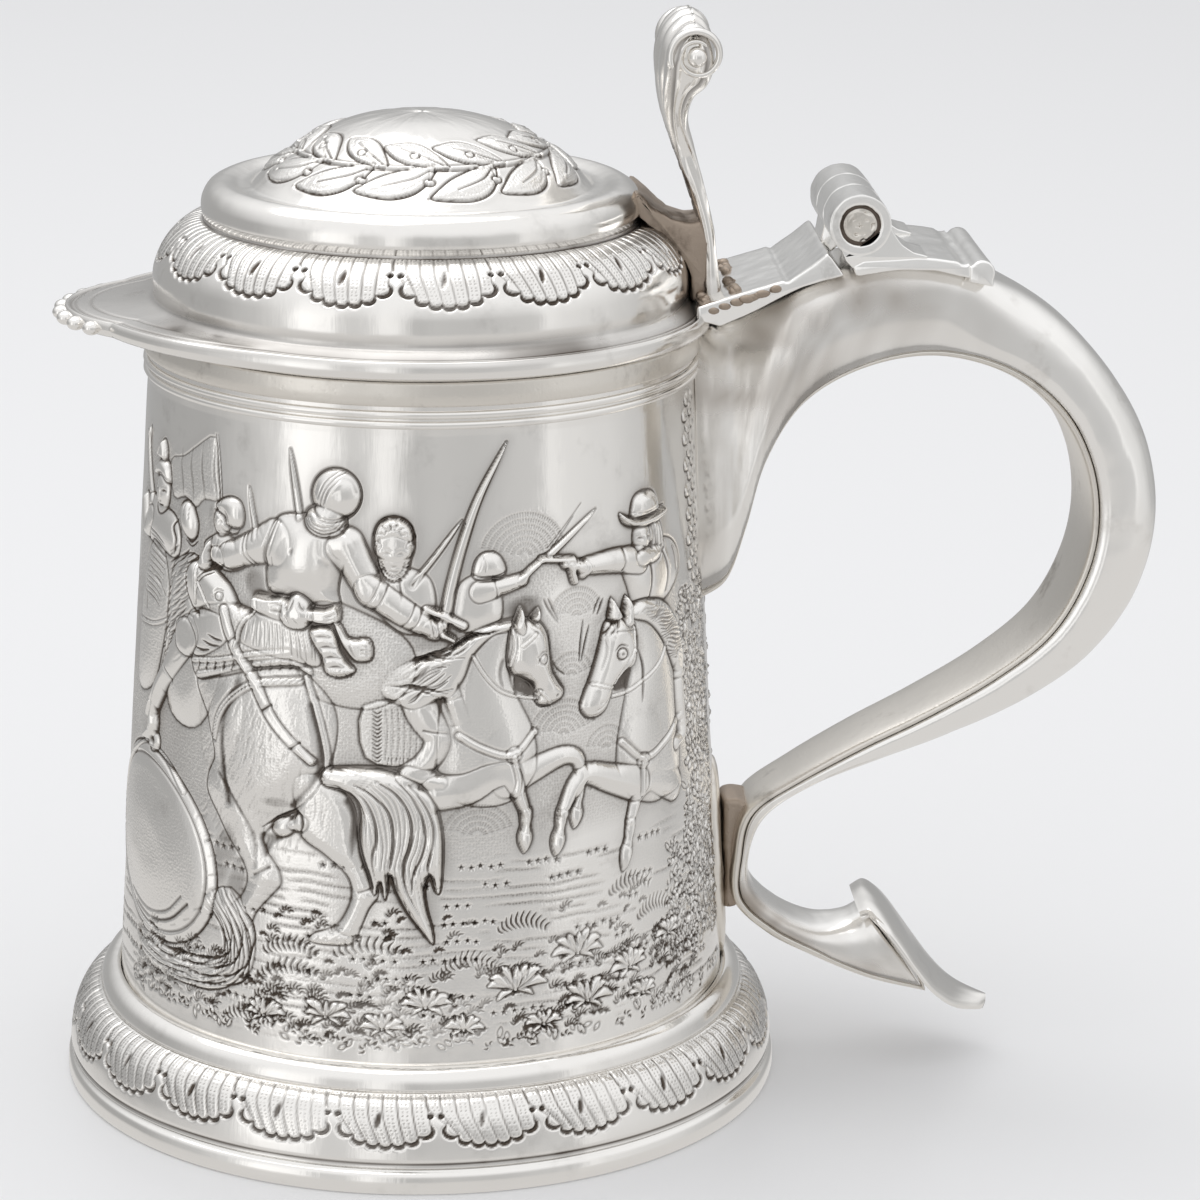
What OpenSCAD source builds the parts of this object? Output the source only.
// Lidded silver tankard with a hinged dome lid, a hollow scroll handle and a spreading foot.
// Millimetres. +Z is up, +X points to the handle, the hinge pin lies along Y.
// The origin is the centre of the ring that the foot stands on.

/* [Foot] */
// Outer radius of the foot at the table
foot_r = 61.5; // [58:0.5:64]
// Height of the plain rim wire at the bottom of the foot
foot_rim_h = 4.4; // [3:0.1:6]
// Height of the top of the domed foot band
foot_h = 15.4; // [13:0.1:17]

/* [Drum] */
// Outer radius of the drum where it meets the foot
drum_low_r = 52.2; // [50:0.1:53]
// Outer radius of the drum at the lip
drum_top_r = 45.7; // [44:0.1:46]
// Height of the lip
lip_z = 131.2; // [125:0.1:131.2]
// Thickness of the drum wall
wall = 1.1; // [1:0.1:1.5]

/* [Lid] */
// Radius of the lid flange, away from the front point
flange_r = 48.4; // [47.5:0.1:49]
// Reach of the pointed front of the flange, from the axis
point_r = 55.4; // [52:0.1:58]
// Reach of the serrated tip, from the axis
tip_r = 59.5; // [58.5:0.1:61]
// Height of the top of the dome
dome_z = 166.2; // [162:0.1:168]
// Thickness of the lid sheet
lid_t = 1.1; // [0.9:0.1:1.3]

/* [Hinge] */
// Distance of the hinge pin from the axis
hinge_x = 71.3; // [71:0.1:71.6]
// Height of the hinge pin
hinge_z = 150; // [149.8:0.1:150.4]
// Outer radius of the hinge barrel
barrel_r = 5.1; // [4.8:0.1:5.2]
// Radius of the hinge pin
pin_r = 2.8; // [2.4:0.1:3]
// Length of the whole barrel
barrel_l = 30; // [26:1:32]
// Gap between neighbouring knuckles
knuckle_gap = 0.3; // [0.2:0.05:0.5]

/* [Thumbpiece] */
// Half width of the shell at the top of the thumbpiece
shell_half_w = 14.5; // [12:0.5:15]
// Half width of the stem of the thumbpiece
stem_half_w = 6.5; // [5:0.5:8]

/* [Handle] */
// Wall of the outer handle shell
handle_wall = 1.2; // [1:0.1:1.5]
// Depth of the inner handle strip
strip_depth = 2; // [1.6:0.1:2.2]
// Half width of the shield at the end of the handle
shield_half_w = 12.5; // [11:0.5:14]

/* [Hidden] */

round_fn = 128;
pin_clearance = 0.05;
collar_h = 3.2;
disc_t = 1.3;
disc_z = foot_h;
drum_z = disc_z + disc_t;
// Below this height the drum tapers, above it the lip is a plain cylinder
lip_start_z = lip_z - 9;
reed_r = 0.75;
flange_top_z = 134.2;
flange_under_z = flange_top_z - lid_t;
lid_seat_z = 131.6;
bulge_r = 44.3;
dome_r = 27.8;
dome_foot_z = 154.8;
step_z = 148.9;
point_half_angle = 62;
tip_angle = 19;
knob_count = 4;
knuckle_l = (barrel_l - 2 * knuckle_gap) / 3;
shield_t = 1.4;

silver = [0.83, 0.82, 0.80];
bright_silver = [0.90, 0.89, 0.87];
dull_silver = [0.66, 0.62, 0.57];

// ---------- helpers ----------

// Unit normal to the left of the direction from a to b
function left_normal(a, b) = let (d = b - a) [-d[1], d[0]] / norm(d);

// Normal at point i of an open path, the mean of its two segments
function path_normal(p, i) =
    let (
        n0 = left_normal(p[max(i - 1, 0)], p[max(i, 1)]),
        n1 = left_normal(p[min(i, len(p) - 2)], p[min(i + 1, len(p) - 1)]),
        s = n0 + n1
    ) s / norm(s);

// The path moved sideways by t
function shifted(p, t) = [for (i = [0:len(p) - 1]) p[i] + t * path_normal(p, i)];

// A closed wall of thickness t on one side of an open path
function walled(p, t) = concat(p, [for (i = [len(p) - 1:-1:0]) shifted(p, t)[i]]);

// An arc from angle a0 to a1 about centre c
function arc(c, r, a0, a1, steps) = [for (i = [0:steps]) let (a = a0 + (a1 - a0) * i / steps) c + r * [cos(a), sin(a)]];

function smooth(t) = let (u = min(1, max(0, t))) u * u * (3 - 2 * u);

// Catmull-Rom blend of four rows
function blend_rows(a, b, c, d, t) =
    0.5 * (2 * b + (c - a) * t + (2 * a - 5 * b + 4 * c - d) * t * t + (3 * b - a - 3 * c + d) * t * t * t);

// Every row of the table with steps - 1 blended rows between neighbours
function smooth_rows(rows, steps) =
    let (n = len(rows)) [
        for (i = [0:n - 2], k = [0:(i == n - 2 ? steps : steps - 1)])
            blend_rows(rows[max(i - 1, 0)], rows[i], rows[i + 1], rows[min(i + 2, n - 1)], k / steps)
    ];

module turned(profile) {
    rotate_extrude($fn = round_fn) polygon(profile);
}

// A profile drawn in X and Z, extruded along Y between y0 and y1
module slab(profile, y0, y1) {
    translate([0, y1, 0]) rotate([90, 0, 0]) linear_extrude(y1 - y0) polygon(profile);
}

// A cylinder along the hinge pin between y0 and y1
module hinge_cylinder(r, y0, y1) {
    translate([hinge_x, y1, hinge_z]) rotate([90, 0, 0]) cylinder(r = r, h = y1 - y0, $fn = 96);
}

// A closed tube through sections of the same even number of points. The first half of a section runs along
// one side and the second half back along the other, so the two ends are closed by a ladder of triangles.
module swept(sections) {
    n = len(sections[0]);
    m = len(sections);
    last = (m - 1) * n;
    polyhedron(
        points = [for (s = sections, p = s) p],
        faces = concat(
            [for (i = [0:n / 2 - 2]) [i, i + 1, n - 2 - i]],
            [for (i = [0:n / 2 - 2]) [i, n - 2 - i, n - 1 - i]],
            [for (j = [0:m - 2], i = [0:n - 1]) [j * n + i, (j + 1) * n + i, (j + 1) * n + (i + 1) % n]],
            [for (j = [0:m - 2], i = [0:n - 1]) [j * n + i, (j + 1) * n + (i + 1) % n, j * n + (i + 1) % n]],
            [for (i = [0:n / 2 - 2]) [last + n - 2 - i, last + i + 1, last + i]],
            [for (i = [0:n / 2 - 2]) [last + n - 1 - i, last + n - 2 - i, last + i]]
        ),
        convexity = 8
    );
}

// ---------- foot ----------

// Outside of the domed band, from the collar down to the groove
skirt_path = [[55.4, foot_h], [57.4, foot_h - 0.9], [59.3, foot_h - 3], [60.5, foot_h - 6], [60.9, foot_rim_h]];

module foot_skirt() {
    color(silver) turned(concat([[53, foot_h]], skirt_path, [[59.7, foot_rim_h]],
        [for (i = [3:-1:1]) skirt_path[i] - [1.2, 0.5]], [[55, foot_h - 1.2], [53, foot_h - 1.2]]));
}

module foot_rim() {
    color(bright_silver) turned([[57, 0], [foot_r - 0.3, 0], [foot_r, 0.4], [foot_r, foot_rim_h - 1.1],
        [foot_r - 0.4, foot_rim_h - 0.6], [60.9, foot_rim_h - 0.5], [60.9, foot_rim_h], [58.6, foot_rim_h], [57, 1.6]]);
}

module foot_collar() {
    rise = collar_h - 0.6;
    color(bright_silver) turned(concat([[53.2, foot_h], [55.6, foot_h]],
        arc([52.4, foot_h + 0.5], 3.2, 0, 72, 6), [[52.1, foot_h + collar_h + 0.3], [51.9, foot_h + rise], [51.9, drum_z],
        [53.2, drum_z]]));
}

module base_disc() {
    color(dull_silver) translate([0, 0, disc_z]) cylinder(r = 53.2, h = disc_t, $fn = round_fn);
}

// ---------- drum ----------

module drum() {
    color(silver) turned([[drum_low_r, drum_z], [drum_top_r, lip_start_z], [drum_top_r, lip_z - 0.3], [drum_top_r - 0.3, lip_z],
        [drum_top_r - wall + 0.3, lip_z], [drum_top_r - wall, lip_z - 0.3], [drum_top_r - wall, lip_start_z],
        [drum_low_r - wall, drum_z]]);
}

module lip_band() {
    color(bright_silver) turned([[drum_top_r, lip_z - 4.4], [drum_top_r + 0.5, lip_z - 4.2], [drum_top_r + 0.7, lip_z - 0.6],
        [drum_top_r + 0.4, lip_z - 0.1], [drum_top_r, lip_z - 0.1]]);
}

module reed(z) {
    turned(arc([drum_top_r, z], reed_r, -90, 90, 8));
}

module upper_reed() {
    color(bright_silver) reed(lip_z - 5.4);
}

module lower_reed() {
    color(bright_silver) reed(lip_z - 7.1);
}

// ---------- handle ----------

// Outer point X, Z, inner point X, Z and half width, from the lip round to the shield
handle_rows = [
    [45.0, 130.4, 46.6, 84.0, 8.5], [50.5, 132.3, 51.2, 88.0, 10.0], [56.0, 135.4, 54.0, 97.0, 11.2],
    [63.0, 138.9, 57.0, 109.0, 12.0], [72.0, 141.2, 63.0, 119.0, 12.2], [83.0, 140.9, 73.0, 125.0, 12.2],
    [94.0, 138.2, 85.0, 127.0, 12.2], [105.0, 132.3, 97.0, 123.8, 12.0], [114.8, 124.5, 105.6, 117.0, 11.8],
    [121.8, 113.0, 110.5, 108.0, 11.5], [124.6, 100.0, 112.0, 98.0, 11.2], [122.6, 87.0, 110.2, 88.4, 10.8],
    [115.6, 75.2, 105.0, 79.0, 10.3], [104.4, 66.2, 96.0, 71.4, 9.7], [90.5, 59.6, 85.0, 64.8, 9.0],
    [77.5, 54.6, 73.6, 58.8, 8.3], [67.6, 50.6, 63.4, 52.6, 7.8], [60.8, 45.0, 56.4, 46.4, 7.4],
    [58.0, 38.0, 54.2, 38.0, 7.1], [58.8, 32.0, 54.8, 29.6, 7.0], [62.4, 27.0, 59.4, 23.6, 7.0],
    [68.4, 24.4, 67.2, 19.4, 7.2], [73.6, 25.0, 77.6, 15.2, 7.6], [77.0, 27.0, 88.0, 12.8, 8.0]
];
handle_rings = smooth_rows(handle_rows, 3);

// A point of the handle section: y across, s outwards from the inner point towards the outer point
function section_point(row, y, s) =
    let (o = [row[0], row[1]], i = [row[2], row[3]], d = (o - i) / norm(o - i), p = i + d * s) [p[0], y, p[1]];

// The outer bow of the section, with its half width and rise reduced by t
function bow(row, t, steps) =
    let (depth = norm([row[0] - row[2], row[1] - row[3]]), w = row[4] - t, rise = depth - strip_depth - t) [
        for (k = [0:steps])
            let (a = 180 * k / steps, c = cos(a), s = sin(a))
                section_point(row, w * sign(c) * pow(abs(c), 0.6), strip_depth + rise * pow(s, 0.6))
    ];

module handle_shell() {
    color(bright_silver) swept([
        for (row = handle_rings)
            let (outside = bow(row, 0, 12), inside = bow(row, handle_wall, 12))
                concat(outside, [for (k = [12:-1:0]) inside[k]])
    ]);
}

module handle_strip() {
    edge = 1;
    color(silver) swept([
        for (row = handle_rings)
            concat(
                [for (k = [0:6]) section_point(row, row[4] * cos(30 * k), strip_depth)],
                [for (k = [6:-1:0]) section_point(row, row[4] * cos(30 * k), (strip_depth - edge) * (1 - sin(30 * k)))]
            )
    ]);
}

// Radius of the outside of the drum at height z
function drum_r(z) = drum_low_r + (drum_top_r - drum_low_r) * (z - drum_z) / (lip_start_z - drum_z);

module lower_backing_plate() {
    low = 20;
    high = 54.5;
    half_w = 8;
    mid = (low + high) / 2;
    plate_t = 1.2;
    color(dull_silver) intersection() {
        turned([[drum_r(low), low], [drum_r(low) + plate_t, low], [drum_r(high) + plate_t, high], [drum_r(high), high]]);
        translate([40, 0, 0]) rotate([90, 0, 90]) linear_extrude(20) polygon(concat(
            [for (a = [-90:15:90]) [half_w * cos(a), mid + (high - mid) * sin(a)]],
            [for (a = [105:15:255]) [half_w * cos(a), mid + (high - mid) * sin(a)]]));
    }
}

module lower_strut() {
    color(dull_silver) slab([[52, 27], [55.6, 28.5], [54.7, 38], [55.8, 45], [57.6, 48.5], [51.4, 48]], -4.5, 4.5);
}

// Side view of the shield, X and Z, from its rolled top edge down to its tip
shield_path = [[76.4, 28.4], [79.4, 27.4], [82.4, 24.4], [86.2, 19], [90, 14.2], [94, 10.8], [99.2, 9]];
// Half outline of the shield from above: X, share of the half width
shield_side = [[76, 0.6], [78, 0.78], [81, 0.96], [84.5, 1], [88, 0.92], [92, 0.66], [96, 0.38], [98.6, 0.22]];

module terminal_shield() {
    side = [for (p = shield_side) [p[0], p[1] * shield_half_w]];
    color(bright_silver) intersection() {
        slab(walled(shield_path, -shield_t), -shield_half_w - 1, shield_half_w + 1);
        linear_extrude(40) polygon(concat(side, [[99.4, 0]], [for (i = [len(side) - 1:-1:0]) [side[i][0], -side[i][1]]]));
    }
}

// ---------- hinge, handle side ----------

module handle_hinge_leaf() {
    color(silver) slab([[71, 141], [70.2, 143.2], [72, 144.1], [81, 144.7], [84, 144.5], [89.4, 143.6], [89.4, 139.2],
        [84, 140], [78, 140.4]], -barrel_l / 2, barrel_l / 2);
}

module leaf_end_bead() {
    color(bright_silver) slab(concat([[89.4, 139.2], [89.4, 143.4]], arc([91.6, 142.2], 2.1, 130, -30, 8), [[93.6, 138.2]]),
        -barrel_l / 2, barrel_l / 2);
}

// Barrel and arm of one knuckle that stands on the handle leaf
module handle_knuckle(y0, y1, mouth_y) {
    mouth_depth = 1.2;
    difference() {
        union() {
            hinge_cylinder(barrel_r, y0, y1);
            slab([[68.2, 146.2], [70.2, 143.2], [72, 144.1], [81, 144.7], [78.6, 146.1], [77, 147.8], [76.3, 150],
                [hinge_x, hinge_z]], y0, y1);
        }
        hinge_cylinder(pin_r, y0 - 1, y1 + 1);
        hinge_cylinder(pin_r + 0.5, min(mouth_y, mouth_y + sign(-mouth_y) * mouth_depth) - (mouth_y < 0 ? 1 : 0),
            max(mouth_y, mouth_y + sign(-mouth_y) * mouth_depth) + (mouth_y > 0 ? 1 : 0));
    }
}

module front_knuckle() {
    color(bright_silver) handle_knuckle(-barrel_l / 2, -barrel_l / 2 + knuckle_l, -barrel_l / 2);
}

module rear_knuckle() {
    color(bright_silver) handle_knuckle(barrel_l / 2 - knuckle_l, barrel_l / 2, barrel_l / 2);
}

module hinge_pin() {
    color(dull_silver) hinge_cylinder(pin_r, -barrel_l / 2 + 0.3, barrel_l / 2 - 0.3);
}

// ---------- lid ----------

dome_path = [for (i = [0:10]) let (r = dome_r * i / 10)
    [r, dome_foot_z + (dome_z - dome_foot_z) * (1 - pow(r / dome_r, 2.4))]];
step_path = [[28.6, 154.3], [30.2, 154.2], [31.8, 154.9], [33.4, 155.1], [35.2, 154.2], [36.4, 152.4], [36.6, 150.6],
    [36.2, step_z]];
bulge_path = [[38.6, 148.1], [41, 146.6], [43, 144], [44.2, 141], [44.4, 138.4], [bulge_r, 136.4]];
lid_path = concat(dome_path, step_path, bulge_path, [[44.9, 135.5], [46.2, 134.8], [flange_r, flange_top_z]]);

module lid_shell() {
    under = shifted(lid_path, -lid_t);
    last = len(lid_path) - 1;
    color(silver) turned(concat([for (i = [0:last]) lid_path[i]], [[flange_r, flange_under_z], [44.4, flange_under_z],
        [43.2, 134.6]], [for (i = [last - 3:-1:1]) under[i]], [[0, dome_z - lid_t]]));
}

module lid_edge_wire() {
    color(bright_silver) turned([[44.6, lid_seat_z], [flange_r - 0.4, lid_seat_z], [flange_r, lid_seat_z + 0.4],
        [flange_r, flange_under_z], [44.6, flange_under_z]]);
}

module lid_bezel() {
    color(dull_silver) turned([[42.1, 129.4], [42.4, 129], [42.8, 129], [43.1, 129.6], [43.1, 137], [42.1, 137]]);
}

// Radius of the flange outline at angle a from the front
function outline_r(a) = flange_r + (point_r - flange_r) * (1 - smooth(abs(a) / point_half_angle));

module lid_point() {
    span = point_half_angle;
    rise = tip_r - point_r;
    color(silver) translate([0, 0, lid_seat_z + 0.4]) linear_extrude(flange_top_z - lid_seat_z - 0.4) polygon(concat(
        [for (a = [-span:4:span]) let (extra = abs(a) < tip_angle ? rise * (1 - pow(a / tip_angle, 2)) : 0)
            -(outline_r(a) + extra) * [cos(a), sin(a)]],
        [for (a = [span:-2:-span]) -flange_r * [cos(a), sin(a)]]));
}

module lid_point_knobs() {
    knob_r = 1.2;
    knob_step = 4.4;
    rise = tip_r - point_r;
    color(bright_silver) for (side = [-1, 1], k = [0:knob_count - 1]) {
        a = side * knob_step * (k + 0.5);
        r = outline_r(a) + rise * (1 - pow(a / tip_angle, 2)) + 0.4;
        translate([-r * cos(a), -r * sin(a), flange_top_z - 1.4]) sphere(r = knob_r, $fn = 32);
    }
}

// Side view of the thumbpiece: front edge up, over the rolled top and down the back
thumb_side = [[46.8, 134.6], [46.4, 146], [44.5, 152.5], [42.1, 159], [40.1, 164.5], [38.9, 170], [38.3, 176], [39.3, 180.6],
    [42, 183.1], [44.6, 183.5], [46.6, 181.9], [48.1, 178.3], [47.9, 174.6], [46, 171.8], [43.7, 170], [43.2, 167],
    [44.4, 161.5], [46.2, 155], [48.1, 148.5], [49, 142], [49.8, 134.6]];

// Half outline of the thumbpiece seen along X: half width, height
thumb_half = [[11, 134], [9, 137], [stem_half_w + 0.5, 142], [stem_half_w, 150], [stem_half_w + 0.6, 157],
    [stem_half_w + 2.5, 163], [shell_half_w - 2, 169], [shell_half_w, 174], [shell_half_w, 178], [shell_half_w - 1.5, 181],
    [shell_half_w - 5, 183.2], [4, 185]];

module thumbpiece() {
    color(silver) intersection() {
        slab(thumb_side, -shell_half_w - 1, shell_half_w + 1);
        translate([30, 0, 0]) rotate([90, 0, 90]) linear_extrude(30) polygon(concat(thumb_half,
            [for (i = [len(thumb_half) - 1:-1:0]) [-thumb_half[i][0], thumb_half[i][1]]]));
    }
}

module thumbpiece_bosses() {
    color(bright_silver) for (side = [-1, 1])
        translate([44.6, side * shell_half_w, 177]) rotate([-90 * side, 0, 0]) cylinder(r1 = 1.9, r2 = 1.2, h = 1.2, $fn = 32);
}

module thumbpiece_bracket() {
    color(dull_silver) slab([[35.6, 152.6], [37.4, 151.9], [40, 149.6], [43, 148.4], [47, 148.4], [47, 134.4], [44.6, 135.6],
        [44, 141], [40.6, 146.4], [36.4, 148.4]], -7, 7);
}

module lid_hinge_strap() {
    color(silver) slab([[44.8, 134.2], [44.8, 136.4], [48.5, 137.6], [52.3, 138.8], [56, 139.7], [59.9, 140.8], [63, 143],
        [66, 145.4], [68.9, 141.7], [62, 139.8], [60, 138.8], [56, 136.7], [52, 134.7], [48.6, 133.2]],
        -barrel_l / 2, barrel_l / 2);
}

module lid_knuckle() {
    half = barrel_l / 2 - knuckle_l - knuckle_gap;
    color(bright_silver) difference() {
        union() {
            hinge_cylinder(barrel_r, -half, half);
            slab([[66, 145.4], [67.6, 143.36], [69.6, 145.4], [hinge_x, hinge_z], [66.6, 149]], -half, half);
        }
        hinge_cylinder(pin_r + pin_clearance, -half - 1, half + 1);
    }
}

drum();
base_disc();
foot_skirt();
foot_rim();
foot_collar();
lip_band();
upper_reed();
lower_reed();
handle_shell();
handle_strip();
lower_backing_plate();
lower_strut();
terminal_shield();
handle_hinge_leaf();
leaf_end_bead();
front_knuckle();
rear_knuckle();
hinge_pin();
lid_shell();
lid_edge_wire();
lid_bezel();
lid_point();
lid_point_knobs();
thumbpiece();
thumbpiece_bosses();
thumbpiece_bracket();
lid_hinge_strap();
lid_knuckle();
